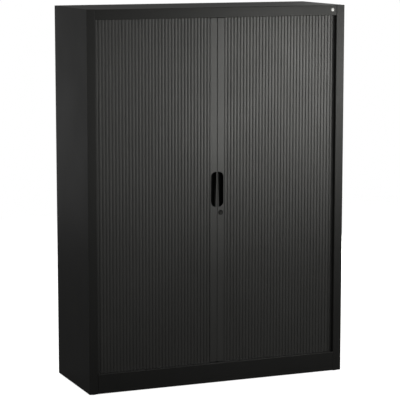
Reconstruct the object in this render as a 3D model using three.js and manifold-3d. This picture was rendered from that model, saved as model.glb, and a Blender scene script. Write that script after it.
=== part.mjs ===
// Tambour door cabinet: a steel casing whose two ribbed shutters slide sideways in tracks, round the front
// corners and along the sides to the back. Millimetres, +Z up, front towards -Y, origin on the floor in the
// middle of the footprint.
import * as THREE from "three";
import { mergeVertices } from "three/addons/utils/BufferGeometryUtils.js";
import Module from "manifold-3d";

const wasm = await Module();
wasm.setup();

// Overall size.
const width = 1200;
const depth = 430;
const height = 1651;

// Steel sheet of the casing and of the inner panels, and the play left where pieces meet.
const sheet = 1.25;
const innerSheet = 1;
const bendRadius = 2.25;
const seam = 0.3;
const underCasing = 4;

// Front frame.
const stileWidth = 39;
const fasciaHeight = 45;
const plinthHeight = 90;
const returnDepth = 17.75;
const ledgeDrop = 10;
const plinthFoot = 15;
const rearFlange = 15;
const plateFlange = 25;

// The way that the shutters run, measured from the casing's faces to the middle of the slats.
const frontSetback = 25;
const sideSetback = 11.25;
const rearSetback = 12.25;
const cornerRadius = 32;
const cornerLead = 20;
const rearRun = 175;

// Tracks.
const trackWidth = 14;
const trackHeight = 12;
const grooveWidth = 8;
const grooveDepth = 8;
const edgePlay = 1;

// Tambour curtain: ribbed slats on a thin web, with a tongue that holds it in the lead rail.
const slatPitch = 15;
const slatThickness = 6;
const slatGroove = 4;
const slatCrown = 1;
const slatWeb = 1.25;
const slatBackGap = 2;
const slatCrownSteps = 4;
const tailSlats = 5;
const tongueThickness = 4;
const tongueReach = 1.75;

// Lead rails, which meet in the middle.
const meetingGap = 1;
const railWidth = 32.5;
const railDepth = 14;
const railProud = 2;
const railWall = 1.5;
const railEndGap = 3;
const pocketDepth = 2.25;
const pocketWeb = 1.25;
const parkedGap = 16;

// Finger cups.
const cupLip = 4.25;
const cupWidth = 23.5;
const cupHeight = 151;
const cupBottom = 785;
const cupDepth = 18;
const cupWall = 1;
const cupEndFlat = 3;

// Guide shoes.
const shoeLength = 24;
const shoeThickness = 7;
const shoePlug = 20;
const shoeCollar = 1.25;

// Lock.
const lockDrop = 27;
const bezelRadius = 11;
const bezelProud = 1.5;
const bezelChamfer = 0.75;
const barrelRadius = 9;
const barrelLength = 16;
const plugRadius = 6;
const plugInset = 0.5;
const tailRadius = 3;
const tailLength = 5;
const keywayLength = 7;
const keywayWidth = 1.75;
const keywayDepth = 3;
const hookThickness = 3;
const hookWidth = 14;
const hookTip = 5;
const hookChamfer = 3;
const strikerOffset = 12;
const strikerRadius = 2.5;
const strikerPlay = 1;
const strikerFlangeRadius = 6;
const strikerFlange = 0.75;
const strikerHeadRadius = 4;
const strikerHead = 1.5;
const strikerLength = 7.5;

// Liners and inner back panel.
const linerClearance = 2.25;
const linerFrontReach = 14;
const linerRearReach = 31;
const innerBackGap = 6;

// Rubber buffers that stop the open doors.
const bufferLength = 60;
const bufferWidth = 8;
const bufferPlay = 0.5;
const bufferClearance = 1.5;

// Slotted uprights.
const uprightWidth = 30;
const uprightDepth = 13.75;
const uprightSheet = 1.5;
const uprightInset = 10;
const slotPitch = 50;
const slotHeight = 12;
const slotWidth = 14;
const slotMargin = 50;

// Shelves and their clips.
const shelfCount = 3;
const shelfHeight = 28;
const shelfSetback = 47;
const shelfHem = 12;
const shelfCorner = 2;
const shelfEndPlay = 2.5;
const shelfRearPlay = 3;
const clipWidth = 12;
const clipSheet = 2;
const clipReach = 18;
const clipLeg = 18;
const clipNeck = 6;
const clipDrop = 11;
const clipShoulder = 3;

// Levelling feet and their brackets.
const footInset = 24;
const padRadius = 15;
const padHeight = 3.5;
const padChamfer = 1;
const studRadius = 5;
const collarRadius = 9;
const collarHeight = 9;
const collarSides = 6;
const bracketUnderside = 24;
const bracketSheet = 3;
const bracketBend = 4;
const bracketLength = 48;
const bracketGap = 3;

// How finely round shapes are cut, how far a cutter reaches past what it cuts, and when two corners are one.
const bendSteps = 3;
const cornerSteps = 8;
const roundSteps = 24;
const arcSteps = 4;
const overrun = 2;
const weld = 0.001;

// Places that several pieces share.
const halfWidth = width / 2;
const halfDepth = depth / 2;
const skinX = halfWidth - sheet;
const cornerPlay = (bendRadius - sheet) * (1 - Math.SQRT1_2) + seam;
const plateHalf = skinX - cornerPlay;
const stileEdge = halfWidth - stileWidth;
const returnEnd = -halfDepth + returnDepth;
const backFace = halfDepth - sheet;
const flangeY = backFace - seam;
const flangeFront = flangeY - sheet - seam;
const fasciaBottom = height - fasciaHeight;
const baseFace = plinthHeight - trackHeight;
const roofFace = fasciaBottom + trackHeight;
const frontY = -halfDepth + frontSetback;
const sideX = halfWidth - sideSetback;
const rearY = halfDepth - rearSetback;
const bendX = sideX - cornerRadius;
const linerInset = trackWidth / 2 + linerClearance;
const linerFrontEdge = stileEdge - linerFrontReach;
const linerRearEdge = stileEdge - linerRearReach;
const innerBackHalf = stileEdge - innerBackGap;
const linerInner = sideX - linerInset - innerSheet;
const innerBackY = rearY - linerInset - innerSheet - seam;
const railInner = meetingGap / 2;
const railOuter = railInner + railWidth;
const doorTravel = stileEdge - parkedGap - railOuter;
const railFront = frontY - slatThickness / 2 - railProud;
const railBack = railFront + railDepth;
const hollowInner = railInner + railWall;
const hollowOuter = railOuter - pocketDepth - pocketWeb;
const lockX = railInner + railWidth / 2;
const lockHeight = cupBottom - lockDrop;
const barrelEnd = railFront + barrelLength;
const uprightFace = linerInner - seam - uprightDepth;
const bracketTop = baseFace - plateFlange - bracketGap;
const footX = halfWidth - footInset;
const footY = halfDepth - footInset;

const X = new THREE.Vector3(1, 0, 0);
const Y = new THREE.Vector3(0, 1, 0);
const Z = new THREE.Vector3(0, 0, 1);
const quarter = Math.PI / 2;
const at = (x, y) => new THREE.Vector2(x, y);

// Straight runs joined by arcs in a plane: the middle line of a track, or the outer face of a folded sheet.
class Route {
  constructor(corners, radius, steps = bendSteps) {
    this.start = corners[0];
    this.end = corners[corners.length - 1];
    this.steps = steps;
    this.arcs = corners.slice(1, -1).map((corner, i) => {
      const before = corner.clone().sub(corners[i]).normalize();
      const after = corners[i + 2].clone().sub(corner).normalize();
      const turn = Math.atan2(before.cross(after), before.dot(after));
      const side = Math.sign(turn);
      const reach = radius * Math.tan(Math.abs(turn) / 2);
      const from = corner.clone().addScaledVector(before, -reach);
      const centre = at(from.x - before.y * radius * side, from.y + before.x * radius * side);
      const angle = Math.atan2(from.y - centre.y, from.x - centre.x);
      return { before, after, turn, side, radius, from, centre, angle };
    });
  }

  // The route's points, moved by a distance to the left of the way that it runs.
  offset(distance) {
    const straight = this.end.clone().sub(this.start).normalize();
    const first = this.arcs.length ? this.arcs[0].before : straight;
    const last = this.arcs.length ? this.arcs[this.arcs.length - 1].after : straight;
    const shift = (point, way) => at(point.x - way.y * distance, point.y + way.x * distance);
    const bends = this.arcs.flatMap(({ centre, angle, turn, side, radius }) =>
      Array.from({ length: this.steps + 1 }, (_, k) => {
        const a = angle + (turn * k) / this.steps;
        const r = radius - side * distance;
        return at(centre.x + r * Math.cos(a), centre.y + r * Math.sin(a));
      }),
    );
    return [shift(this.start, first), ...bends, shift(this.end, last)];
  }

  // The closed outline between two offsets.
  strip(one, other) {
    return new THREE.Shape([...this.offset(one), ...this.offset(other).reverse()]);
  }

  // The point at a distance along the route, and the way that the route runs there.
  along(distance) {
    let point = this.start;
    let left = distance;
    for (const { before, from, centre, angle, turn, side, radius } of this.arcs) {
      const run = point.distanceTo(from);
      if (left <= run) return { point: point.clone().addScaledVector(before, left), way: before };
      left -= run;
      const sweep = Math.abs(turn) * radius;
      const a = angle + turn * Math.min(left / sweep, 1);
      point = at(centre.x + radius * Math.cos(a), centre.y + radius * Math.sin(a));
      if (left <= sweep) return { point, way: at(-Math.sin(a) * side, Math.cos(a) * side) };
      left -= sweep;
    }
    const way = this.end.clone().sub(point).normalize();
    return { point: point.clone().addScaledVector(way, left), way };
  }
}

function extruded(shape, length, placing) {
  const settings = { depth: length, bevelEnabled: false, curveSegments: arcSteps };
  return new THREE.ExtrudeGeometry(shape, settings).applyMatrix4(placing);
}

// An outline in X and Y, raised between two heights given in either order.
function raised(shape, one, other) {
  const low = Math.min(one, other);
  return extruded(shape, Math.abs(other - one), new THREE.Matrix4().makeTranslation(0, 0, low));
}

// A section in Y and Z, run across the width.
function acrossWidth(shape, low, high) {
  return extruded(shape, high - low, new THREE.Matrix4().makeBasis(Y, Z, X).setPosition(low, 0, 0));
}

// A section in X and Z, run from one depth to another.
function throughDepth(shape, low, high) {
  const forward = Y.clone().negate();
  return extruded(shape, high - low, new THREE.Matrix4().makeBasis(X, Z, forward).setPosition(0, high, 0));
}

function block(x0, x1, y0, y1, z0, z1) {
  const geometry = new THREE.BoxGeometry(x1 - x0, y1 - y0, z1 - z0);
  return geometry.translate((x0 + x1) / 2, (y0 + y1) / 2, (z0 + z1) / 2);
}

function rectangle(x0, x1, y0, y1) {
  return new THREE.Shape([at(x0, y0), at(x1, y0), at(x1, y1), at(x0, y1)]);
}

function roundedRectangle(x0, x1, y0, y1, radius) {
  const shape = new THREE.Shape();
  shape.absarc(x1 - radius, y0 + radius, radius, -quarter, 0);
  shape.absarc(x1 - radius, y1 - radius, radius, 0, quarter);
  shape.absarc(x0 + radius, y1 - radius, radius, quarter, Math.PI);
  shape.absarc(x0 + radius, y0 + radius, radius, Math.PI, Math.PI + quarter);
  return shape;
}

// A closed mesh as a solid that can be joined and cut.
function solid(geometry) {
  const bare = new THREE.BufferGeometry();
  bare.setAttribute("position", geometry.getAttribute("position"));
  bare.setIndex(geometry.getIndex());
  const merged = mergeVertices(bare, weld);
  const corners = merged.getIndex().array;
  const kept = [];
  for (let i = 0; i < corners.length; i += 3) {
    const [a, b, c] = corners.slice(i, i + 3);
    if (a !== b && b !== c && c !== a) kept.push(a, b, c);
  }
  const vertProperties = merged.getAttribute("position").array;
  return new wasm.Manifold(new wasm.Mesh({ numProp: 3, vertProperties, triVerts: new Uint32Array(kept) }));
}

function meshed(manifold) {
  const { vertProperties, triVerts } = manifold.getMesh();
  const shared = new THREE.BufferGeometry();
  shared.setAttribute("position", new THREE.BufferAttribute(vertProperties, 3));
  shared.setIndex(new THREE.BufferAttribute(triVerts, 1));
  const geometry = shared.toNonIndexed();
  geometry.computeVertexNormals();
  return geometry;
}

function cut(geometry, ...tools) {
  return meshed(tools.reduce((body, tool) => body.subtract(solid(tool)), solid(geometry)));
}

function join(...geometries) {
  return meshed(geometries.map(solid).reduce((body, other) => body.add(other)));
}

// A piece turned about an axis along Y, from radius and depth pairs that run from front to back.
function turned(profile, x, z) {
  return meshed(solid(new THREE.LatheGeometry(profile, roundSteps))).translate(x, 0, z);
}

// A round cutter along Y.
function drill(radius, x, z, front, back) {
  const geometry = new THREE.CylinderGeometry(radius, radius, back - front + 2 * overrun, roundSteps);
  return geometry.translate(x, (front + back) / 2, z);
}

// Side panel: the return, the stile, the side and the rear flange in one fold. The return is notched at the
// top, where the top panel passes.
function sidePanel() {
  const face = new Route(
    [
      at(stileEdge, returnEnd),
      at(stileEdge, -halfDepth),
      at(halfWidth, -halfDepth),
      at(halfWidth, flangeY),
      at(halfWidth - rearFlange, flangeY),
    ],
    bendRadius,
  );
  const notch = block(
    stileEdge - overrun,
    stileEdge + bendRadius,
    -halfDepth + sheet,
    returnEnd + overrun,
    height - sheet - seam,
    height + overrun,
  );
  return cut(raised(face.strip(0, sheet), underCasing, height), notch);
}

// Top panel: the fascia, the top and the rear flange in one fold, with a wing over each stile.
function topPanel() {
  const face = new Route(
    [
      at(returnEnd, fasciaBottom),
      at(-halfDepth, fasciaBottom),
      at(-halfDepth, height),
      at(flangeY, height),
      at(flangeY, height - rearFlange),
    ],
    bendRadius,
  );
  const half = stileEdge - seam;
  const wingFront = -halfDepth + sheet + seam;
  const wings = block(-plateHalf, plateHalf, wingFront, flangeFront, height - sheet, height);
  const middle = block(-half, half, wingFront - overrun, wingFront + bendRadius, height - sheet, height);
  return join(acrossWidth(face.strip(0, -sheet), -half, half), cut(wings, middle));
}

// Plinth panel: the lip beside the track, the ledge, the face and the foot flange in one fold.
function plinthPanel() {
  const face = new Route(
    [
      at(returnEnd, plinthHeight - ledgeDrop),
      at(returnEnd, plinthHeight),
      at(-halfDepth, plinthHeight),
      at(-halfDepth, underCasing),
      at(-halfDepth + plinthFoot, underCasing),
    ],
    bendRadius,
  );
  const half = stileEdge - seam;
  return acrossWidth(face.strip(0, sheet), -half, half);
}

// Base plate or roof plate: it carries the tracks on its face, and its flanges turn away from the doors.
function trackPlate(face, away) {
  const front = returnEnd + seam;
  const flangeEnd = face + away * plateFlange;
  const corners = [at(front, flangeEnd), at(front, face), at(flangeFront, face), at(flangeFront, flangeEnd)];
  return acrossWidth(new Route(corners, bendRadius).strip(0, away * sheet), -plateHalf, plateHalf);
}

// Floor tray: it fills the loop inside the bottom tracks, and its rim stands on the base plate.
function floorTray() {
  const half = sideX - trackWidth / 2 - seam;
  const front = frontY + trackWidth / 2 + seam;
  const rear = rearY - trackWidth / 2 - seam;
  const radius = cornerRadius - trackWidth / 2 - seam;
  const inset = innerSheet;
  return cut(
    raised(roundedRectangle(-half, half, front, rear, radius), baseFace + seam, plinthHeight),
    raised(
      roundedRectangle(inset - half, half - inset, front + inset, rear - inset, radius - inset),
      baseFace - overrun,
      plinthHeight - innerSheet,
    ),
  );
}

// A track along a route, from its base to its mouth, with the groove that the shutters run in.
function track(route, base, mouth) {
  const inward = Math.sign(mouth - base);
  const grooveFloor = mouth - inward * grooveDepth;
  return cut(
    raised(route.strip(-trackWidth / 2, trackWidth / 2), base + inward * seam, mouth),
    raised(route.strip(-grooveWidth / 2, grooveWidth / 2), grooveFloor, mouth + inward * overrun),
  );
}

// Middle line of the side tracks, from a short lead before the front corner to the end of the rear run.
function sideRoute() {
  const lead = at(bendX - cornerLead, frontY);
  const tail = at(bendX - rearRun, rearY);
  return new Route([lead, at(sideX, frontY), at(sideX, rearY), tail], cornerRadius, cornerSteps);
}

function frontRoute() {
  const end = bendX - cornerLead - seam;
  return new Route([at(-end, frontY), at(end, frontY)], cornerRadius);
}

// Tambour curtain: crowned slats joined by a thin web at the back. Each slat is straight, so the ones in the
// corner stand as chords of it, and the grooves between them open.
function curtain() {
  const route = new Route([at(0, frontY), at(sideX, frontY), at(sideX, rearY)], cornerRadius, cornerSteps);
  const place = (middle, u, v) => {
    const { point, way } = route.along(middle);
    return at(point.x + way.x * u + way.y * v, point.y + way.y * u - way.x * v);
  };
  const first = railOuter + seam;
  const count = Math.ceil((stileEdge - first) / slatPitch) + tailSlats;
  const crest = slatThickness / 2;
  const back = -slatThickness / 2;
  const web = back + slatWeb;
  const ribHalf = (slatPitch - slatGroove) / 2;
  const backHalf = (slatPitch - slatBackGap) / 2;
  const tongue = tongueThickness / 2;
  const outside = [place(railOuter - tongueReach, 0, tongue)];
  const inside = [
    place(railOuter - tongueReach, 0, -tongue),
    place(first, 0, -tongue),
    place(first, 0, back),
  ];
  for (let i = 0; i < count; i++) {
    const middle = first + (i + 0.5) * slatPitch;
    if (i > 0) outside.push(place(middle, -ribHalf, web));
    for (let k = 0; k <= slatCrownSteps; k++) {
      const across = (2 * k) / slatCrownSteps - 1;
      outside.push(place(middle, across * ribHalf, crest - slatCrown * across * across));
    }
    outside.push(place(middle, ribHalf, web));
    inside.push(place(middle, -backHalf, back), place(middle, backHalf, back));
  }
  const low = plinthHeight - grooveDepth + edgePlay;
  const high = fasciaBottom + grooveDepth - edgePlay;
  return raised(new THREE.Shape([...outside, ...inside.reverse()]), low, high);
}

// Outline of a finger cup: straight beside the meeting edge and round towards the slats.
function cupOutline(grow) {
  const inner = railInner + cupLip - grow;
  const outer = railInner + cupLip + cupWidth + grow;
  const low = cupBottom - grow;
  const high = cupBottom + cupHeight + grow;
  const radius = cupWidth - cupEndFlat + grow;
  const shape = new THREE.Shape([at(inner, low)]);
  shape.absarc(outer - radius, low + radius, radius, -quarter, 0);
  shape.absarc(outer - radius, high - radius, radius, 0, quarter);
  shape.lineTo(inner, high);
  return shape;
}

// Lead rail: a hollow section with a pocket for the curtain's tongue and a window for the finger cup.
function leadRail(...holes) {
  const pocketHalf = tongueThickness / 2 + seam;
  const pocketEnd = railOuter - pocketDepth;
  const section = new THREE.Shape([
    at(railInner, railFront),
    at(railOuter, railFront),
    at(railOuter, frontY - pocketHalf),
    at(pocketEnd, frontY - pocketHalf),
    at(pocketEnd, frontY + pocketHalf),
    at(railOuter, frontY + pocketHalf),
    at(railOuter, railBack),
    at(railInner, railBack),
  ]);
  section.holes.push(rectangle(hollowInner, hollowOuter, railFront + railWall, railBack - railWall));
  const window = throughDepth(cupOutline(cupWall + seam), railFront - overrun, railBack + overrun);
  return cut(raised(section, plinthHeight + railEndGap, fasciaBottom - railEndGap), window, ...holes);
}

function fingerCup() {
  const rear = railFront + cupDepth;
  return cut(
    throughDepth(cupOutline(cupWall), railFront, rear),
    throughDepth(cupOutline(0), railFront - overrun, rear - cupWall),
  );
}

// Guide shoe: a plug in the rail's end and a tongue in the track's groove, pointing down or up.
function guideShoe(mouth, pointing) {
  const railEnd = mouth - pointing * railEndGap;
  const grooveFloor = mouth + pointing * grooveDepth;
  const collar = railEnd + pointing * shoeCollar;
  const half = shoeLength / 2;
  const thick = shoeThickness / 2;
  const tongue = roundedRectangle(lockX - half, lockX + half, frontY - thick, frontY + thick, thick);
  const plug = rectangle(
    hollowInner + seam,
    hollowOuter - seam,
    railFront + railWall + seam,
    railBack - railWall - seam,
  );
  return join(
    raised(tongue, grooveFloor - pointing * seam, railEnd + (pointing * shoeCollar) / 2),
    raised(plug, collar, railEnd - pointing * shoePlug),
  );
}

function lockBezel() {
  const front = railFront - bezelProud;
  const bore = plugRadius + seam;
  const profile = [
    at(bore, front),
    at(bezelRadius - bezelChamfer, front),
    at(bezelRadius, front + bezelChamfer),
    at(bezelRadius, railFront - seam),
    at(barrelRadius, railFront - seam),
    at(barrelRadius, barrelEnd),
    at(bore, barrelEnd),
    at(bore, front),
  ];
  return turned(profile, lockX, lockHeight);
}

function lockPlug() {
  const front = railFront - bezelProud + plugInset;
  const profile = [
    at(0, front),
    at(plugRadius, front),
    at(plugRadius, barrelEnd),
    at(tailRadius, barrelEnd),
    at(tailRadius, barrelEnd + tailLength),
    at(0, barrelEnd + tailLength),
  ];
  const keyway = block(
    lockX - keywayWidth / 2,
    lockX + keywayWidth / 2,
    front - overrun,
    front + keywayDepth,
    lockHeight - keywayLength / 2,
    lockHeight + keywayLength / 2,
  );
  return cut(turned(profile, lockX, lockHeight), keyway);
}

// Lock hook, hanging unlocked: its notch opens towards the other door and swings up round the striker.
function lockHook() {
  const half = hookWidth / 2;
  const notchDrop = lockX + strikerOffset;
  const notchHalf = strikerRadius + strikerPlay;
  const end = notchDrop + notchHalf + hookTip;
  const shape = new THREE.Shape();
  shape.absarc(0, 0, half, 0, Math.PI);
  shape.lineTo(-half, notchHalf - notchDrop);
  shape.absarc(0, -notchDrop, notchHalf, quarter, -quarter, true);
  shape.lineTo(-half, -notchHalf - notchDrop);
  shape.lineTo(hookChamfer - half, -end);
  shape.lineTo(half - hookChamfer, -end);
  shape.lineTo(half, hookChamfer - end);
  const hole = new THREE.Path();
  hole.absarc(0, 0, tailRadius + seam, 0, 2 * Math.PI);
  shape.holes.push(hole);
  const front = barrelEnd + seam;
  return throughDepth(shape, front, front + hookThickness).translate(lockX, 0, lockHeight);
}

function lockStriker() {
  const front = railBack + seam;
  const end = front + strikerLength;
  const profile = [
    at(0, front),
    at(strikerFlangeRadius, front),
    at(strikerFlangeRadius, front + strikerFlange),
    at(strikerRadius, front + strikerFlange),
    at(strikerRadius, end - strikerHead),
    at(strikerHeadRadius, end - strikerHead),
    at(strikerHeadRadius, end),
    at(0, end),
  ];
  return turned(profile, -strikerOffset, lockHeight);
}

// Liner: it keeps what is stored off the curtain, and its corners run beside the track's.
function liner() {
  const face = new Route(
    [
      at(linerFrontEdge, frontY + linerInset),
      at(sideX - linerInset, frontY + linerInset),
      at(sideX - linerInset, rearY - linerInset),
      at(linerRearEdge, rearY - linerInset),
    ],
    cornerRadius - linerInset,
    cornerSteps,
  );
  return raised(face.strip(0, innerSheet), plinthHeight + seam, roofFace - seam);
}

// Rubber buffer on the liner's front edge, where the back of the open lead rail meets it.
function doorBuffer() {
  const inner = railOuter + doorTravel + bufferPlay;
  const middle = cupBottom + cupHeight / 2;
  return block(
    inner,
    inner + bufferWidth,
    frontY + slatThickness / 2 + bufferClearance,
    frontY + linerInset - seam,
    middle - bufferLength / 2,
    middle + bufferLength / 2,
  );
}

// Heights of the slots' lower ends in the uprights.
const slotCount = Math.floor((roofFace - plinthHeight - 2 * slotMargin) / slotPitch) + 1;
const slotBottoms = Array.from({ length: slotCount }, (_, k) => plinthHeight + slotMargin + k * slotPitch);

// The slot nearest to each shelf's even share of the height.
const shelfSlots = Array.from({ length: shelfCount }, (_, i) => {
  const level = ((roofFace - plinthHeight) * (i + 1)) / (shelfCount + 1);
  return slotBottoms[Math.round((level - slotMargin) / slotPitch)];
});

// Where the uprights stand, from front to rear.
const uprightMiddles = {
  front: frontY + cornerRadius + uprightInset + uprightWidth / 2,
  rear: rearY - cornerRadius - uprightInset - uprightWidth / 2,
};

// Slotted upright: a channel that stands open against the liner.
function upright(middle) {
  const [front, rear] = [middle - uprightWidth / 2, middle + uprightWidth / 2];
  const open = linerInner - seam;
  const corners = [at(open, front), at(uprightFace, front), at(uprightFace, rear), at(open, rear)];
  const section = new Route(corners, bendRadius).strip(0, -uprightSheet);
  const channel = raised(section, plinthHeight + seam, roofFace - seam);
  const slots = slotBottoms.map((bottom) =>
    block(
      uprightFace - overrun,
      uprightFace + uprightSheet + overrun,
      middle - slotWidth / 2,
      middle + slotWidth / 2,
      bottom,
      bottom + slotHeight,
    ),
  );
  return cut(channel, ...slots);
}

const neckLow = (slot) => slot + seam;
const clipTop = (slot) => neckLow(slot) + clipNeck + clipShoulder;

// Shelf clip: a platform under the shelf, a leg on the upright's face and a hook through its slot.
function shelfClip(slot, middle) {
  const legFace = uprightFace - seam;
  const hookFace = uprightFace + uprightSheet + seam;
  const top = clipTop(slot);
  const low = neckLow(slot);
  const section = new THREE.Shape([
    at(legFace - clipReach, top),
    at(legFace - clipReach, top - clipSheet),
    at(legFace - clipSheet, top - clipSheet),
    at(legFace - clipSheet, top - clipLeg),
    at(legFace, top - clipLeg),
    at(legFace, low),
    at(hookFace, low),
    at(hookFace, low + clipNeck - clipDrop),
    at(hookFace + clipSheet, low + clipNeck - clipDrop),
    at(hookFace + clipSheet, low + clipNeck),
    at(legFace, low + clipNeck),
    at(legFace, top),
  ]);
  return throughDepth(section, middle - clipWidth / 2, middle + clipWidth / 2);
}

// Shelf: a sheet turned down on four sides, with a hem turned in along the front and rear edges.
function shelf(slot) {
  const half = uprightFace - shelfEndPlay;
  const front = -halfDepth + shelfSetback;
  const rear = innerBackY - innerSheet - shelfRearPlay;
  const low = clipTop(slot) + seam;
  const high = low + shelfHeight;
  const inset = innerSheet;
  return cut(
    raised(roundedRectangle(-half, half, front, rear, shelfCorner), low, high),
    block(inset - half, half - inset, front + inset, rear - inset, low + inset, high - inset),
    block(inset - half, half - inset, front + shelfHem, rear - shelfHem, low - overrun, low + overrun),
  );
}

// Levelling foot: a pad, a threaded stud and the hexagon that turns it.
function levellingFoot(x, y) {
  const profile = [
    at(0, 0),
    at(padRadius - padChamfer, 0),
    at(padRadius, padChamfer),
    at(padRadius, padHeight),
    at(studRadius, padHeight),
    at(studRadius, bracketTop),
    at(0, bracketTop),
  ];
  const collar = new THREE.CylinderGeometry(collarRadius, collarRadius, collarHeight, collarSides);
  collar.translate(0, bracketUnderside - seam - collarHeight / 2, 0);
  return join(new THREE.LatheGeometry(profile, roundSteps), collar).rotateX(quarter).translate(x, y, 0);
}

// Foot bracket: an angle fixed inside the side panel, with the foot's stud through it.
function footBracket(y) {
  const inner = stileEdge + sheet + seam;
  const outer = plateHalf;
  const low = bracketUnderside;
  const face = new Route([at(inner, low), at(outer, low), at(outer, bracketTop)], bracketBend);
  const ends = y < 0 ? -halfDepth + sheet + seam : flangeFront - bracketLength;
  const angle = throughDepth(face.strip(0, bracketSheet), ends, ends + bracketLength);
  const hole = new THREE.CylinderGeometry(studRadius + seam, studRadius + seam, 2 * bracketSheet, roundSteps);
  hole.rotateX(quarter).translate(footX, y, low + bracketSheet / 2);
  return cut(angle, hole);
}

const finish = (color, roughness, metalness) =>
  new THREE.MeshStandardMaterial({ color, roughness, metalness });

const finishes = {
  casing: finish(0x2b2b2a, 0.55, 0.3),
  inner: finish(0x343433, 0.6, 0.3),
  curtain: finish(0x30302f, 0.5, 0),
  rail: finish(0x323231, 0.45, 0),
  moulded: finish(0x0d0d0d, 0.6, 0),
  steel: finish(0x8c8c8c, 0.35, 1),
  rubber: finish(0x101010, 0.9, 0),
};

const cabinet = new THREE.Group();

function piece(name, geometry, material) {
  const mesh = new THREE.Mesh(geometry, material);
  mesh.name = name;
  cabinet.add(mesh);
  return mesh;
}

// A piece modelled on the right, and its mirror image on the left.
function bothSides(name, geometry, material) {
  piece(`right_${name}`, geometry, material);
  piece(`left_${name}`, geometry, material).scale.x = -1;
}

bothSides("side_panel", sidePanel(), finishes.casing);
piece("top_panel", topPanel(), finishes.casing);
piece("plinth_panel", plinthPanel(), finishes.casing);
const backPanel = block(-halfWidth, halfWidth, backFace, halfDepth, underCasing, height);
piece("back_panel", backPanel, finishes.casing);
piece("base_plate", trackPlate(baseFace, -1), finishes.casing);
piece("roof_plate", trackPlate(roofFace, 1), finishes.casing);
piece("floor_tray", floorTray(), finishes.inner);

piece("bottom_front_track", track(frontRoute(), baseFace, plinthHeight), finishes.moulded);
piece("top_front_track", track(frontRoute(), roofFace, fasciaBottom), finishes.moulded);
bothSides("bottom_side_track", track(sideRoute(), baseFace, plinthHeight), finishes.moulded);
bothSides("top_side_track", track(sideRoute(), roofFace, fasciaBottom), finishes.moulded);

bothSides("curtain", curtain(), finishes.curtain);
piece("left_lead_rail", leadRail(), finishes.rail).scale.x = -1;
const lockHole = drill(barrelRadius + seam, lockX, lockHeight, railFront, railBack);
piece("right_lead_rail", leadRail(lockHole), finishes.rail);
bothSides("finger_cup", fingerCup(), finishes.moulded);
bothSides("bottom_guide_shoe", guideShoe(plinthHeight, -1), finishes.moulded);
bothSides("top_guide_shoe", guideShoe(fasciaBottom, 1), finishes.moulded);

piece("lock_bezel", lockBezel(), finishes.steel);
piece("lock_plug", lockPlug(), finishes.steel);
piece("lock_hook", lockHook(), finishes.steel);
piece("lock_striker", lockStriker(), finishes.steel);

bothSides("liner", liner(), finishes.inner);
const innerBack = block(
  -innerBackHalf,
  innerBackHalf,
  innerBackY - innerSheet,
  innerBackY,
  plinthHeight + seam,
  roofFace - seam,
);
piece("inner_back_panel", innerBack, finishes.inner);
bothSides("door_buffer", doorBuffer(), finishes.rubber);

for (const [end, middle] of Object.entries(uprightMiddles)) {
  bothSides(`${end}_upright`, upright(middle), finishes.inner);
  shelfSlots.forEach((slot, i) =>
    bothSides(`${end}_shelf_clip_${i + 1}`, shelfClip(slot, middle), finishes.steel),
  );
}
shelfSlots.forEach((slot, i) => piece(`shelf_${i + 1}`, shelf(slot), finishes.inner));

for (const [end, y] of Object.entries({ front: -footY, rear: footY })) {
  bothSides(`${end}_foot_bracket`, footBracket(y), finishes.casing);
  bothSides(`${end}_levelling_foot`, levellingFoot(footX, y), finishes.steel);
}

export default cabinet;
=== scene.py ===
"""Looks of the tambour door cabinet.

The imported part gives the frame. This script rounds its edges, gives every piece its finish, builds
the ribbed shutters, the cups, the lock and the small fittings in full detail, and sets up the
studio. Lengths are in metres.
"""

from __future__ import annotations

import logging
import math
from dataclasses import dataclass, field
from enum import Enum
from typing import Iterable, Sequence

import bmesh
import bpy
from mathutils import Matrix, Vector

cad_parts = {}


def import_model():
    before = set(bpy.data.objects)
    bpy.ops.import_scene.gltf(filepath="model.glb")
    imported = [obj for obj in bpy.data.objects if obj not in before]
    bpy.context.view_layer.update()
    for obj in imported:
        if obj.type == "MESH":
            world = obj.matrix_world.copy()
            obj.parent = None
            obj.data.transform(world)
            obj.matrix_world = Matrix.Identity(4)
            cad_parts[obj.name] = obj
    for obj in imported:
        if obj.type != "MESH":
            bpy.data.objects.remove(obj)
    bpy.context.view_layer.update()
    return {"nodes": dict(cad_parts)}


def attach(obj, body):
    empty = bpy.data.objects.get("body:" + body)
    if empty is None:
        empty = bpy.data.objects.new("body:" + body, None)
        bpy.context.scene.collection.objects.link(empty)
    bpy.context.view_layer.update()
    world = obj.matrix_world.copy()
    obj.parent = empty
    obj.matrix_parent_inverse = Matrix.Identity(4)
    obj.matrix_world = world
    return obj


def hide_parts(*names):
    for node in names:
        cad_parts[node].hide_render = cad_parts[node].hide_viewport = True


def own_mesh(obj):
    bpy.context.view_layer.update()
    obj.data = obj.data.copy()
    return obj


log = logging.getLogger("cabinet")

Form = bmesh.types.BMesh
Vert = bmesh.types.BMVert
Edge = bmesh.types.BMEdge
Face = bmesh.types.BMFace
Socket = bpy.types.NodeSocket
Tree = bpy.types.NodeTree
Colour = tuple[float, float, float]
Point = tuple[float, float, float]
Profile = tuple[tuple[float, float], ...]

# An edge that turns by more than this, in radians, counts as sharp.
SHARP = 0.7
# Two places closer than this count as one.
NEAR = 0.00001
# Points of a turned shape that are merged on its axis and along its seam.
TURNED_GAP = 0.000001
# How far apart the nodes of a tree are drawn.
NODE_SPACING = 220.0


class Side(Enum):
    """Which half of the cabinet a piece belongs to, seen from the front."""

    LEFT = -1
    RIGHT = 1

    @property
    def word(self) -> str:
        """The side as the start of a node's name."""
        return self.name.lower()


class Axis(Enum):
    """The way that the axis of a turned shape points."""

    BACK = (0.0, 1.0, 0.0)
    UP = (0.0, 0.0, 1.0)


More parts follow.
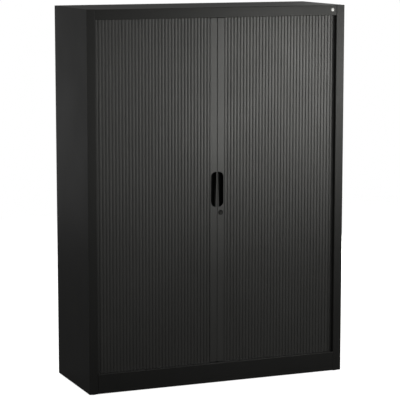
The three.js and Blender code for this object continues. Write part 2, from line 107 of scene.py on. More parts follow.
class Rounding(Enum):
    """What a bevel rounds, in Blender's words."""

    EDGES = "EDGES"
    CORNERS = "VERTICES"


class Effect(Enum):
    """Surface effects that several finishes share, each one a node group."""

    ORANGE_PEEL = "orange_peel"
    DRAWN_LINES = "drawn_lines"
    SPANGLE = "spangle"
    PATCHES = "handled_patches"


@dataclass
class Board:
    """A node tree that is being wired, and is empty at first."""

    tree: Tree
    columns: int = 0

    def __post_init__(self) -> None:
        """Empties the tree."""
        self.tree.nodes.clear()

    def place(self, kind: str, **settings: object) -> bpy.types.Node:
        """Adds a node to the right of the ones that are there.

        Args:
            kind: Blender's name of the node type.
            settings: Properties of the node to set.

        Returns:
            The new node.
        """
        node = self.tree.nodes.new(kind)
        node.location = (NODE_SPACING * self.columns, 0.0)
        self.columns += 1
        for key, value in settings.items():
            setattr(node, key, value)
        return node

    def wire(self, source: Socket, target: Socket) -> None:
        """Links one socket to another."""
        self.tree.links.new(source, target)

    def sum(self, kind: str, one: object, other: object) -> Socket:
        """Places a Math node.

        Args:
            kind: The operation, such as ADD or MULTIPLY.
            one: A socket or a number.
            other: A socket or a number.

        Returns:
            The node's output.
        """
        node = self.place("ShaderNodeMath", operation=kind)
        for slot, value in zip(node.inputs, (one, other)):
            if isinstance(value, Socket):
                self.wire(value, slot)
            else:
                slot.default_value = value
        return node.outputs[0]

    def noise(self, where: Socket, scale: Socket, detail: float) -> Socket:
        """Places a noise texture.

        Args:
            where: The coordinates that it is read at.
            scale: How fine its grain is.
            detail: How many finer layers it has.

        Returns:
            The noise.
        """
        node = self.place("ShaderNodeTexNoise")
        self.wire(where, node.inputs["Vector"])
        self.wire(scale, node.inputs["Scale"])
        node.inputs["Detail"].default_value = detail
        return node.outputs["Fac"]

    def mix(self, share: Socket, first: Colour, last: Colour) -> Socket:
        """Places a mix of two colours.

        Args:
            share: How much there is of the last colour.
            first: The colour at a share of 0.
            last: The colour at a share of 1.

        Returns:
            The mixed colour.
        """
        node = self.place("ShaderNodeMix", data_type="RGBA")
        for slot, colour in zip((s for s in node.inputs if s.type == "RGBA"), (first, last)):
            slot.default_value = (*colour, 1.0)
        self.wire(share, node.inputs["Factor"])
        return next(s for s in node.outputs if s.type == "RGBA")

    def rays(self) -> tuple[Socket, Socket]:
        """Tells the kinds of rays apart.

        Returns:
            A 1 for rays of the camera and through glass, and a 1 for mirrored rays.
        """
        path = self.place("ShaderNodeLightPath")
        camera, glass = path.outputs["Is Camera Ray"], path.outputs["Is Transmission Ray"]
        return self.sum("MAXIMUM", camera, glass), path.outputs["Is Glossy Ray"]


@dataclass
class EffectShelf:
    """Builds each shared node group once and hands it out."""

    coarse_detail: float = 2.0
    fine_detail: float = 1.0
    fine_ratio: float = 3.7
    grit_share: float = 0.35
    line_detail: float = 3.0
    cloud_detail: float = 4.0
    cloud_low: float = 0.3
    cloud_high: float = 0.7
    built: dict[Effect, Tree] = field(default_factory=dict)

    def get(self, effect: Effect) -> Tree:
        """The group of an effect, built on first use.

        Args:
            effect: The effect that is wanted.

        Returns:
            The node group.
        """
        if effect not in self.built:
            makers = {
                Effect.ORANGE_PEEL: self._orange_peel,
                Effect.DRAWN_LINES: self._drawn_lines,
                Effect.SPANGLE: self._spangle,
                Effect.PATCHES: self._patches,
            }
            self.built[effect] = makers[effect]()
        return self.built[effect]

    @staticmethod
    def _start(
        effect: Effect, inputs: Sequence[str], outputs: Sequence[str]
    ) -> tuple[Board, bpy.types.Node, bpy.types.Node]:
        """Opens a group with its sockets.

        Args:
            effect: The effect, which names the group.
            inputs: Names of the number inputs, after the coordinates.
            outputs: Names of the number outputs.

        Returns:
            The board, the group's input node and its output node.
        """
        tree = bpy.data.node_groups.new(effect.value, "ShaderNodeTree")
        face = tree.interface
        face.new_socket(name="Coordinates", in_out="INPUT", socket_type="NodeSocketVector")
        for name in inputs:
            face.new_socket(name=name, in_out="INPUT", socket_type="NodeSocketFloat")
        for name in outputs:
            face.new_socket(name=name, in_out="OUTPUT", socket_type="NodeSocketFloat")
        board = Board(tree)
        return board, board.place("NodeGroupInput"), board.place("NodeGroupOutput")

    def _orange_peel(self) -> Tree:
        """Soft pebbling of a sprayed or moulded skin, in two sizes.

        Returns:
            The node group.
        """
        board, given, out = self._start(Effect.ORANGE_PEEL, ["Scale"], ["Height", "Tone"])
        where, scale = given.outputs["Coordinates"], given.outputs["Scale"]
        coarse = board.noise(where, scale, self.coarse_detail)
        finer = board.sum("MULTIPLY", scale, self.fine_ratio)
        fine = board.noise(where, finer, self.fine_detail)
        grit = board.sum("MULTIPLY", fine, self.grit_share)
        board.wire(board.sum("ADD", coarse, grit), out.inputs["Height"])
        board.wire(coarse, out.inputs["Tone"])
        return board.tree

    def _drawn_lines(self) -> Tree:
        """Fine lines that run up a piece, as extruding or brushing leaves them.

        Returns:
            The node group.
        """
        board, given, out = self._start(
            Effect.DRAWN_LINES, ["Scale", "Stretch"], ["Height", "Tone"]
        )
        squeeze = board.place("ShaderNodeCombineXYZ")
        squeeze.inputs["X"].default_value = 1.0
        squeeze.inputs["Y"].default_value = 1.0
        board.wire(board.sum("DIVIDE", 1.0, given.outputs["Stretch"]), squeeze.inputs["Z"])
        run = board.place("ShaderNodeVectorMath", operation="MULTIPLY")
        board.wire(given.outputs["Coordinates"], run.inputs[0])
        board.wire(squeeze.outputs["Vector"], run.inputs[1])
        lines = board.noise(run.outputs["Vector"], given.outputs["Scale"], self.line_detail)
        board.wire(lines, out.inputs["Height"])
        board.wire(lines, out.inputs["Tone"])
        return board.tree

    def _spangle(self) -> Tree:
        """Crystals of a zinc coating, each a flat patch of its own tone.

        Returns:
            The node group.
        """
        board, given, out = self._start(Effect.SPANGLE, ["Scale"], ["Height", "Tone"])
        cells = board.place("ShaderNodeTexVoronoi", feature="F1")
        board.wire(given.outputs["Coordinates"], cells.inputs["Vector"])
        board.wire(given.outputs["Scale"], cells.inputs["Scale"])
        tone = board.place("ShaderNodeSeparateColor")
        board.wire(cells.outputs["Color"], tone.inputs["Color"])
        board.wire(cells.outputs["Distance"], out.inputs["Height"])
        board.wire(tone.outputs["Red"], out.inputs["Tone"])
        return board.tree

    def _patches(self) -> Tree:
        """Broad, soft changes between two values, as handling and cleaning leave on a gloss.

        Returns:
            The node group.
        """
        board, given, out = self._start(Effect.PATCHES, ["Scale", "Low", "High"], ["Value"])
        where, scale = given.outputs["Coordinates"], given.outputs["Scale"]
        ramp = board.place("ShaderNodeMapRange")
        board.wire(board.noise(where, scale, self.cloud_detail), ramp.inputs["Value"])
        ramp.inputs["From Min"].default_value = self.cloud_low
        ramp.inputs["From Max"].default_value = self.cloud_high
        board.wire(given.outputs["Low"], ramp.inputs["To Min"])
        board.wire(given.outputs["High"], ramp.inputs["To Max"])
        board.wire(ramp.outputs["Result"], out.inputs["Value"])
        return board.tree


@dataclass(frozen=True)
class Finish:
    """A surface finish: its colour, its gloss and the fine texture that carries both."""

    name: str
    slot: str
    colour: Colour
    gloss_rough: tuple[float, float]
    texture: Effect
    texture_scale: float
    texture_depth: float
    tone_spread: float = 0.12
    patch_scale: float = 2.6
    stretch: float = 60.0
    metallic: float = 0.0
    specular: float = 0.5

    def make(self, shelf: EffectShelf) -> bpy.types.Material:
        """Builds the material.

        Args:
            shelf: Where the shared node groups come from.

        Returns:
            The material, ready to be assigned.
        """
        material = bpy.data.materials.new(self.name)
        material.use_nodes = True
        board = Board(material.node_tree)
        place = board.place("ShaderNodeTexCoord")
        skin = board.place("ShaderNodeGroup", node_tree=shelf.get(self.texture))
        board.wire(place.outputs["Object"], skin.inputs["Coordinates"])
        skin.inputs["Scale"].default_value = self.texture_scale
        if "Stretch" in skin.inputs:
            skin.inputs["Stretch"].default_value = self.stretch
        cloud = board.place("ShaderNodeGroup", node_tree=shelf.get(Effect.PATCHES))
        board.wire(place.outputs["Object"], cloud.inputs["Coordinates"])
        cloud.inputs["Scale"].default_value = self.patch_scale
        cloud.inputs["Low"].default_value, cloud.inputs["High"].default_value = self.gloss_rough
        shares = (1 - self.tone_spread, 1 + self.tone_spread)
        dark, pale = (tuple(c * share for c in self.colour) for share in shares)
        tone = board.mix(skin.outputs["Tone"], dark, pale)
        bump = board.place("ShaderNodeBump")
        bump.inputs["Distance"].default_value = self.texture_depth
        board.wire(skin.outputs["Height"], bump.inputs["Height"])
        shader = board.place("ShaderNodeBsdfPrincipled")
        shader.inputs["Metallic"].default_value = self.metallic
        shader.inputs["Specular IOR Level"].default_value = self.specular
        board.wire(tone, shader.inputs["Base Color"])
        board.wire(cloud.outputs["Value"], shader.inputs["Roughness"])
        board.wire(bump.outputs["Normal"], shader.inputs["Normal"])
        out = board.place("ShaderNodeOutputMaterial")
        board.wire(shader.outputs["BSDF"], out.inputs["Surface"])
        return material


CASING_PAINT = Finish(
    "casing_powder_coat", "casing_paint", (0.0140, 0.0140, 0.0137), (0.34, 0.42),
    Effect.ORANGE_PEEL, 900.0, 0.00004, specular=0.25,
)
INNER_PAINT = Finish(
    "inner_powder_coat", "inner_paint", (0.0300, 0.0300, 0.0292), (0.50, 0.58),
    Effect.ORANGE_PEEL, 1100.0, 0.00004, specular=0.35,
)
SLAT_PLASTIC = Finish(
    "extruded_slat_plastic", "slat_plastic", (0.0280, 0.0280, 0.0272), (0.34, 0.42),
    Effect.DRAWN_LINES, 1500.0, 0.00003, specular=0.50,
)
RAIL_PLASTIC = Finish(
    "satin_rail_plastic", "rail_plastic", (0.0280, 0.0280, 0.0272), (0.34, 0.42),
    Effect.DRAWN_LINES, 1200.0, 0.00002, specular=0.50,
)
MOULDED_PLASTIC = Finish(
    "black_moulded_plastic", "black_plastic", (0.0050, 0.0050, 0.0051), (0.42, 0.52),
    Effect.ORANGE_PEEL, 1600.0, 0.00005, specular=0.35,
)
# Finger cup plastic: its own black, darkened further than the other moulded plastic as painted shade
# inside the recess of the cup.
CUP_PLASTIC_AND_PAINTED_SHADE = Finish(
    "matt_black_cup_plastic", "black_plastic", (0.0012, 0.0012, 0.0012), (0.56, 0.66),
    Effect.ORANGE_PEEL, 1900.0, 0.00005, specular=0.06,
)
ZINC = Finish(
    "zinc_plated_steel", "zinc_steel", (0.46, 0.47, 0.48), (0.28, 0.42),
    Effect.SPANGLE, 420.0, 0.00002, tone_spread=0.18, metallic=1.0,
)
LOCK_NICKEL = Finish(
    "dark_nickel", "lock_metal", (0.038, 0.038, 0.037), (0.26, 0.36),
    Effect.DRAWN_LINES, 2600.0, 0.00001, stretch=1.0, metallic=1.0,
)
LOCK_ENAMEL = Finish(
    "black_enamel", "lock_metal", (0.0025, 0.0025, 0.0025), (0.34, 0.44),
    Effect.ORANGE_PEEL, 2200.0, 0.00001, specular=0.10,
)
DISC_ALUMINIUM = Finish(
    "satin_aluminium", "lock_metal", (0.23, 0.23, 0.228), (0.34, 0.42),
    Effect.DRAWN_LINES, 2400.0, 0.00001, stretch=1.0, metallic=1.0,
)
RUBBER = Finish(
    "black_rubber", "rubber", (0.0060, 0.0060, 0.0062), (0.70, 0.82),
    Effect.ORANGE_PEEL, 1400.0, 0.00006, specular=0.3,
)


@dataclass
class Shop:
    """Turns finished meshes into pieces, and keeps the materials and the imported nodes."""

    nodes: dict[str, bpy.types.Object]
    shelf: EffectShelf = field(default_factory=EffectShelf)
    materials: dict[str, bpy.types.Material] = field(default_factory=dict)
    crease_degrees: float = 38.0
    flat_degrees: float = 0.4
    packed_gap: float = 0.000005

    def material(self, finish: Finish) -> bpy.types.Material:
        """Looks up the material of a finish, which is made on first use.

        Args:
            finish: The finish.

        Returns:
            Its material.
        """
        if finish.name not in self.materials:
            self.materials[finish.name] = finish.make(self.shelf)
        return self.materials[finish.name]

    def piece(
        self, form: Form, name: str, finish: Finish, body: str, stands_for: Sequence[str] = ()
    ) -> bpy.types.Object:
        """Makes a piece of the scene from a mesh.

        Args:
            form: The mesh, which is used up.
            name: The piece's name.
            finish: Its finish.
            body: The body that it rides on.
            stands_for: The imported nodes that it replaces.

        Returns:
            The new object.
        """
        mesh = written(form, name)
        mesh.shade_smooth()
        mesh.set_sharp_from_angle(angle=math.radians(self.crease_degrees))
        mesh.materials.append(self.material(finish))
        made = stand(name, mesh)
        weighted = made.modifiers.new("even_shading", "WEIGHTED_NORMAL")
        weighted.keep_sharp = True
        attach(made, body)
        if stands_for:
            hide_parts(*stands_for)
        log.info("%s: %d faces, %s", name, len(mesh.polygons), finish.name)
        return made

    def dress(
        self, node: str, ending: str, finish: Finish, radius: float, body: str = "cabinet",
        segments: int = 2,
    ) -> None:
        """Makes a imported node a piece, with its edges rounded and the ending put to its name."""
        self.piece(self.rounded(node, radius, segments), f"{node}_{ending}", finish, body, [node])

    def rounded(self, node: str, radius: float, segments: int = 2) -> Form:
        """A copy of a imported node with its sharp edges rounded, by a radius and in segments."""
        return soften(self.merged(node), radius, segments)

    def merged(self, node: str) -> Form:
        """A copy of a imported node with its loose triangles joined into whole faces.

        Args:
            node: The node's name.

        Returns:
            The joined copy.
        """
        form = bmesh.new()
        form.from_mesh(self.nodes[node].data)
        bmesh.ops.remove_doubles(form, verts=form.verts, dist=self.packed_gap)
        bmesh.ops.dissolve_limit(
            form, angle_limit=math.radians(self.flat_degrees), verts=form.verts, edges=form.edges
        )
        return form


def written(form: Form, name: str) -> bpy.types.Mesh:
    """Writes a mesh to Blender's data.

    Args:
        form: The mesh, which is used up.
        name: Its name there.

    Returns:
        The written mesh.
    """
    mesh = bpy.data.meshes.new(name)
    form.to_mesh(mesh)
    form.free()
    return mesh


def stand(name: str, data: bpy.types.ID) -> bpy.types.Object:
    """Adds an object to the scene.

    Args:
        name: Its name.
        data: Its mesh, lamp or camera.

    Returns:
        The object.
    """
    made = bpy.data.objects.new(name, data)
    bpy.context.scene.collection.objects.link(made)
    return made


def soften(form: Form, radius: float, segments: int = 2, spared: Sequence = ()) -> Form:
    """Rounds every edge that is sharper than SHARP.

    Args:
        form: The mesh, which is changed.
        radius: How far the rounding reaches from each edge.
        segments: Faces across each rounding.
        spared: Edges that stay as they are.

    Returns:
        The same mesh.
    """
    sharp = [e for e in form.edges if e.is_manifold and e.calc_face_angle() > SHARP]
    bevel(form, [e for e in sharp if e not in spared], radius, segments)
    return form


def bevel(
    form: Form, parts: Iterable, radius: float, segments: int, kind: Rounding = Rounding.EDGES
) -> None:
    """Rounds the edges or corners that are given."""
    bmesh.ops.bevel(
        form, geom=list(parts), offset=radius, segments=segments, profile=0.5,
        affect=kind.value, material=-1, clamp_overlap=True,
    )


def only(geometry: Iterable, kind: type) -> list:
    """The vertices, edges or faces among mixed geometry."""
    return [g for g in geometry if isinstance(g, kind)]


def scaled(profile: Profile, radius: float) -> list[tuple[float, float]]:
    """A profile whose radii were given as shares of one radius."""
    return [(radius * share, along) for share, along in profile]


def polygon(form: Form, corners: Sequence[Point]) -> Face:
    """A flat face from a few corners."""
    return form.faces.new([form.verts.new(c) for c in corners])


def push(form: Form, faces: Iterable, move: Point) -> list[Vert]:
    """Extrudes faces along a vector.

    Args:
        form: The mesh.
        faces: The faces to extrude.
        move: How far their copy goes.

    Returns:
        The vertices of the moved end.
    """
    made = bmesh.ops.extrude_face_region(form, geom=list(faces))
    ends = only(made["geom"], Vert)
    bmesh.ops.translate(form, verts=ends, vec=Vector(move))
    return ends


def repeat(form: Form, places: Sequence[Matrix]) -> None:
    """Sets a copy of the whole mesh at each place and removes the original.

    Args:
        form: The mesh that holds one shape.
        places: Where the copies go.
    """
    original = [*form.verts, *form.edges, *form.faces]
    for place in places:
        copy = bmesh.ops.duplicate(form, geom=original)["geom"]
        bmesh.ops.transform(form, matrix=place, verts=only(copy, Vert))
    bmesh.ops.delete(form, geom=only(original, Vert), context="VERTS")


def join(form: Form, other: Form) -> None:
    """Adds another mesh to this one.

    Args:
        form: The mesh that grows.
        other: The mesh that is added, which is used up.
    """
    store = written(other, "joining")
    form.from_mesh(store)
    bpy.data.meshes.remove(store)


def face_out(form: Form) -> None:
    """Turns every face of closed shells outwards."""
    bmesh.ops.recalc_face_normals(form, faces=form.faces)


def mirrored(form: Form, side: Side) -> Form:
    """Gives a right-hand shape as it is, or its mirror image on the left.

    Args:
        form: The right-hand shape, which is changed.
        side: Where it is wanted.

    Returns:
        The same mesh.
    """
    if side is Side.LEFT:
        bmesh.ops.scale(form, vec=(-1.0, 1.0, 1.0), verts=form.verts)
        bmesh.ops.reverse_faces(form, faces=form.faces)
    return form


def turned(
    profile: Sequence[tuple[float, float]], at: Point, steps: int = 64, axis: Axis = Axis.BACK
) -> Form:
    """A shape turned about an axis.

    Args:
        profile: Pairs of radius and distance along the axis, from one end to the other.
        at: The point on the axis where that distance is zero.
        steps: Facets round the axis.
        axis: The way that the axis points.

    Returns:
        The turned shape.
    """
    form = bmesh.new()
    along = Vector(axis.value)
    start = Vector(at)
    verts = [form.verts.new(start + Vector((r, 0.0, 0.0)) + along * d) for r, d in profile]
    edges = [form.edges.new(pair) for pair in zip(verts, verts[1:])]
    bmesh.ops.spin(
        form, geom=[*verts, *edges], cent=start, axis=along, angle=math.tau, steps=steps,
        use_merge=True, use_duplicate=False, dvec=(0.0, 0.0, 0.0),
    )
    bmesh.ops.remove_doubles(form, verts=form.verts, dist=TURNED_GAP)
    face_out(form)
    return form


def brick(low: Point, high: Point) -> Form:
    """A closed block between two corners, for flanges and for cutting.

    Args:
        low: The corner with the lowest coordinates.
        high: The opposite corner.

    Returns:
        The block.
    """
    form = bmesh.new()
    verts = bmesh.ops.create_cube(form, size=1.0)["verts"]
    size = Vector(high) - Vector(low)
    bmesh.ops.scale(form, verts=verts, vec=size)
    bmesh.ops.translate(form, verts=verts, vec=(Vector(high) + Vector(low)) / 2)
    return form


def carve(form: Form, cutter: Form) -> Form:
    """Cuts one closed shape out of another.

    Args:
        form: The shape that is cut, which is used up.
        cutter: The shape that is taken away, which is used up.

    Returns:
        What is left.
    """
    body = stand("carved", written(form, "carved"))
    tool = stand("cutter", written(cutter, "cutter"))
    cut = body.modifiers.new("cut", "BOOLEAN")
    cut.operation = "DIFFERENCE"
    cut.solver = "EXACT"
    cut.object = tool
    left = bmesh.new()
    left.from_object(body, bpy.context.evaluated_depsgraph_get())
    for thing in (body, tool):
        mesh = thing.data
        bpy.data.objects.remove(thing)
        bpy.data.meshes.remove(mesh)
    return left


@dataclass
class Casing:
    """The painted steel shell: sides, top, plinth, back, plates and foot brackets."""

    shop: Shop
    edge: float = 0.0004
    front: float = -0.2150
    back: float = 0.2150
    cutter_reach: float = 0.0010
    disc_x: float = 0.5420
    disc_z: float = 1.6310
    disc_radius: float = 0.0078
    disc_depth: float = 0.0007
    disc_dome: Profile = (
        (0.0, 0.00012), (0.5, 0.00010), (0.86, 0.00006), (0.95, 0.00016), (1.0, 0.0003),
    )
    disc_steps: int = 48
    seat_gap: float = 0.0003
    seat_lip: float = 0.0003
    plinth_half: float = 0.5607
    tab_width: float = 0.0120
    tab_gap: float = 0.0002
    tab_edge: float = 0.0002
    tab_low: float = 0.0055
    tab_high: float = 0.0875
    sheet: float = 0.00125
    return_end: float = -0.19725
    rivet_radius: float = 0.0034
    rivet_sink: float = 0.0009
    rivet_dome: Profile = ((0.0, -0.0001), (0.45, -0.00018), (0.8, -0.0004), (1.0, -0.0007))
    rivet_steps: int = 24
    dimple_mouth: float = 0.0022
    dimple_lip: float = 0.0016
    dimple_gap: float = 0.0003
    rivet_columns: tuple[float, ...] = (-0.5900, 0.5900)
    rivet_rows: tuple[float, ...] = (0.0650, 0.3650, 0.6650, 0.9650, 1.2650, 1.5650)
    rivet_ends: tuple[float, ...] = (-0.4000, 0.0000, 0.4000)
    rivet_levels: tuple[float, ...] = (0.0650, 1.6400)
    plain: tuple[str, ...] = (
        "left_side_panel", "right_side_panel", "base_plate", "roof_plate",
        "left_front_foot_bracket", "right_front_foot_bracket", "left_rear_foot_bracket",
        "right_rear_foot_bracket",
    )

    def build(self) -> None:
        """Rounds and paints the panels, and sets the disc and the rivets in them."""
        for node in self.plain:
            self.shop.dress(node, "coated", CASING_PAINT, self.edge)
        self.coat(self.fascia(), "top_panel")
        self.coat(self.plinth(), "plinth_panel")
        self.coat(self.rear(), "back_panel")
        self.disc()
        self.rivets()

    def coat(self, form: Form, node: str) -> None:
        """Makes a coated panel that stands for a packed one."""
        self.shop.piece(form, f"{node}_coated", CASING_PAINT, "cabinet", [node])

    def fascia(self) -> Form:
        """The top panel, with a shallow round seat for the disc in its fascia.

        Returns:
            The top panel.
        """
        r, lip, reach = self.disc_radius + self.seat_gap, self.seat_lip, self.cutter_reach
        profile = [(0.0, -reach), (r + lip * 2, -reach), (r + lip, 0.0), (r, lip),
                   (r, self.disc_depth), (0.0, self.disc_depth)]
        seat = turned(profile, (self.disc_x, self.front, self.disc_z), self.disc_steps)
        return carve(self.shop.rounded("top_panel", self.edge), seat)

    def plinth(self) -> Form:
        """The plinth, with the tabs at its ends that close the joint from behind.

        Returns:
            The plinth.
        """
        form = self.shop.rounded("plinth_panel", self.edge)
        rear = self.front + 2 * self.sheet
        for side in Side:
            inner = side.value * (self.plinth_half - self.sheet - self.tab_width)
            outer = side.value * (self.plinth_half - self.tab_gap)
            low, high = sorted((inner, outer))
            tab = brick((low, self.front + self.sheet, self.tab_low), (high, rear, self.tab_high))
            low, high = sorted((outer - side.value * self.sheet, outer))
            web = brick((low, rear, self.tab_low), (high, self.return_end, self.tab_high))
            for part in (tab, web):
                bevel(part, part.edges, self.tab_edge, 1)
                join(form, part)
        return form

    def rear(self) -> Form:
        """The back panel, dimpled where its rivets sit.

        Returns:
            The back panel.
        """
        form = self.shop.rounded("back_panel", self.edge)
        r, sink, reach = self.rivet_radius, self.rivet_sink, self.cutter_reach
        profile = [(0.0, reach), (r + self.dimple_mouth, reach), (r + self.dimple_lip, 0.0),
                   (r + self.dimple_gap, -sink), (0.0, -sink)]
        return carve(form, self.at_rivets(profile))

    def at_rivets(self, profile: Sequence[tuple[float, float]]) -> Form:
        """A turned shape at the place of every rivet.

        Args:
            profile: Its profile, with the back panel's face at 0.

        Returns:
            All the copies in one mesh.
        """
        form = bmesh.new()
        for x, z in self.rivet_places():
            join(form, turned(profile, (x, self.back, z), self.rivet_steps))
        return form

    def rivet_places(self) -> list[tuple[float, float]]:
        """Where the rivets go, as pairs of X and Z."""
        sides = [(x, z) for x in self.rivet_columns for z in self.rivet_rows]
        return sides + [(x, z) for x in self.rivet_ends for z in self.rivet_levels]

    def rivets(self) -> None:
        """Low domed rivets that stay under the back panel's face."""
        r, sink = self.rivet_radius, self.rivet_sink
        form = self.at_rivets([*scaled(self.rivet_dome, r), (r, -sink), (0.0, -sink)])
        self.shop.piece(form, "back_rivets", CASING_PAINT, "cabinet")

    def disc(self) -> None:
        """A plain satin disc, flush in the fascia."""
        r, depth = self.disc_radius, self.disc_depth
        profile = [*scaled(self.disc_dome, r), (r, depth), (0.0, depth)]
        form = turned(profile, (self.disc_x, self.front, self.disc_z), self.disc_steps)
        self.shop.piece(form, "fascia_disc", DISC_ALUMINIUM, "cabinet")


@dataclass
class Tracks:
    """The moulded tracks that the shutters run in."""

    shop: Shop
    edge: float = 0.0005

    def build(self) -> None:
        """Rounds and finishes all six tracks."""
        names = ["bottom_front_track", "top_front_track"]
        for side in Side:
            names += [f"{side.word}_bottom_side_track", f"{side.word}_top_side_track"]
        for node in names:
            self.shop.dress(node, "moulded", MOULDED_PLASTIC, self.edge)


@dataclass
class Curtain:
    """One ribbed shutter: extruded slats on a web, along the front and round the corner.

    The front run goes with its door.
    The tail, from the corner on, stays in the side track.
    """

    shop: Shop
    side: Side
    middle: float = -0.1900
    first: float = 0.0333
    pitch: float = 0.0150
    slats: int = 41
    half_rib: float = 0.0059
    long_edge: float = 0.5
    crest: float = 0.0030
    crest_half: float = 0.0010
    crest_round: float = 0.0034
    shoulder: float = 0.0025
    shoulder_round: float = 0.0012
    round_segments: int = 4
    bead: float = 0.0015
    bead_depth: float = -0.0007
    bead_steps: int = 12
    web: float = -0.00175
    back: float = -0.0030
    bend_x: float = 0.55675
    bend_radius: float = 0.0320
    bend_steps: int = 14
    low: float = 0.0830
    high: float = 1.6130
    tongue: float = 0.03125
    tongue_half: float = 0.0020
    tongue_lap: float = 0.0010
    web_gap: float = 0.0020
    keep: float = 0.0210
    anchor: float = 0.0330

    def place(self, run: float) -> Matrix:
        """Where a slat stands at a distance along the shutter.

        Args:
            run: The distance from the cabinet's middle, along the slats' middle line.

        Returns:
            The slat's placing, with its outer face to the front or the side.
        """
        arc = self.bend_radius * math.pi / 2
        centre = Vector((self.bend_x, self.middle + self.bend_radius, 0.0))
        angle = min(max(run - self.bend_x, 0.0), arc) / self.bend_radius
        if run <= self.bend_x:
            point = Vector((run, self.middle, 0.0))
        else:
            point = centre + self.bend_radius * Vector((math.sin(angle), -math.cos(angle), 0.0))
            point.y += max(run - self.bend_x - arc, 0.0)
        return Matrix.Translation(point) @ Matrix.Rotation(angle, 4, "Z")

    def long_edges(self, form: Form) -> list[Edge]:
        """The edges of a slat that run up its whole height."""
        return [e for e in form.edges if abs(e.verts[0].co.z - e.verts[1].co.z) > self.long_edge]

    def slat(self) -> Form:
        """One slat at the origin, with a rounded crest and a hinge bead beside it.

        Returns:
            The slat.
        """
        form = bmesh.new()
        h = self.half_rib
        rise = (0.0, 0.0, self.high - self.low)
        section = [(-h, -self.web), (-h, -self.shoulder), (0.0, -self.crest),
                   (h, -self.shoulder), (h, -self.web)]
        push(form, [polygon(form, [(x, y, self.low) for x, y in section])], rise)
        crest = [e for e in self.long_edges(form) if abs(e.verts[0].co.x) < self.crest_half]
        bevel(form, crest, self.crest_round, self.round_segments)
        shoulders = [
            e for e in self.long_edges(form)
            if abs(abs(e.verts[0].co.x) - h) < NEAR and e.verts[0].co.y < NEAR - self.shoulder
        ]
        bevel(form, shoulders, self.shoulder_round, self.round_segments)
        bead = bmesh.ops.create_circle(
            form, cap_ends=True, segments=self.bead_steps, radius=self.bead
        )["verts"]
        bmesh.ops.translate(form, verts=bead, vec=(self.pitch / 2, self.bead_depth, self.low))
        push(form, {f for v in bead for f in v.link_faces}, rise)
        face_out(form)
        return form

    def row(self, numbers: Iterable[int]) -> Form:
        """A row of slats.

        Args:
            numbers: Which slats, counted from the lead rail.

        Returns:
            The slats in one mesh.
        """
        form = self.slat()
        repeat(form, [self.place(self.first + (i + 0.5) * self.pitch) for i in numbers])
        return form

    def front_web(self) -> Form:
        """The thin web behind the slats of the front run."""
        return brick(
            (self.tongue + self.web_gap, self.middle - self.web, self.low),
            (self.bend_x, self.middle - self.back, self.high),
        )

    def tail_web(self) -> Form:
        """The web round the corner and along the side, as far as the last slat.

        Returns:
            The web.
        """
        form = bmesh.new()
        x, y0, y1 = self.bend_x, self.middle - self.web, self.middle - self.back
        face = polygon(form, [(x, y0, self.low), (x, y0, self.high),
                              (x, y1, self.high), (x, y1, self.low)])
        swept = bmesh.ops.spin(
            form, geom=[face], cent=(x, self.middle + self.bend_radius, 0.0),
            axis=(0.0, 0.0, 1.0), angle=math.pi / 2, steps=self.bend_steps, use_merge=False,
            use_duplicate=False, dvec=(0.0, 0.0, 0.0),
        )["geom_last"]
        arc = self.bend_radius * math.pi / 2
        rest = self.first + self.slats * self.pitch - self.bend_x - arc - self.half_rib / 2
        last = only(swept, Face)
        push(form, last, (0.0, rest, 0.0))
        bmesh.ops.delete(form, geom=last, context="FACES_ONLY")
        bmesh.ops.remove_doubles(form, verts=form.verts, dist=NEAR)
        face_out(form)
        return form

    def build(self) -> None:
        """Builds the front run, which goes with its door, and the tail."""
        name = f"{self.side.word}_curtain"
        split = round((self.bend_x - self.first) / self.pitch)
        form = self.row(range(split))
        join(form, self.front_web())
        join(form, brick(
            (self.tongue, self.middle - self.tongue_half, self.low),
            (self.first + self.tongue_lap, self.middle + self.tongue_half, self.high),
        ))
        made = self.shop.piece(
            mirrored(form, self.side), f"{name}_slats", SLAT_PLASTIC,
            f"{self.side.word}_door", [name],
        )
        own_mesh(made)
        tail = self.row(range(split, self.slats))
        join(tail, self.tail_web())
        self.shop.piece(mirrored(tail, self.side), f"{name}_tail", SLAT_PLASTIC, "cabinet")


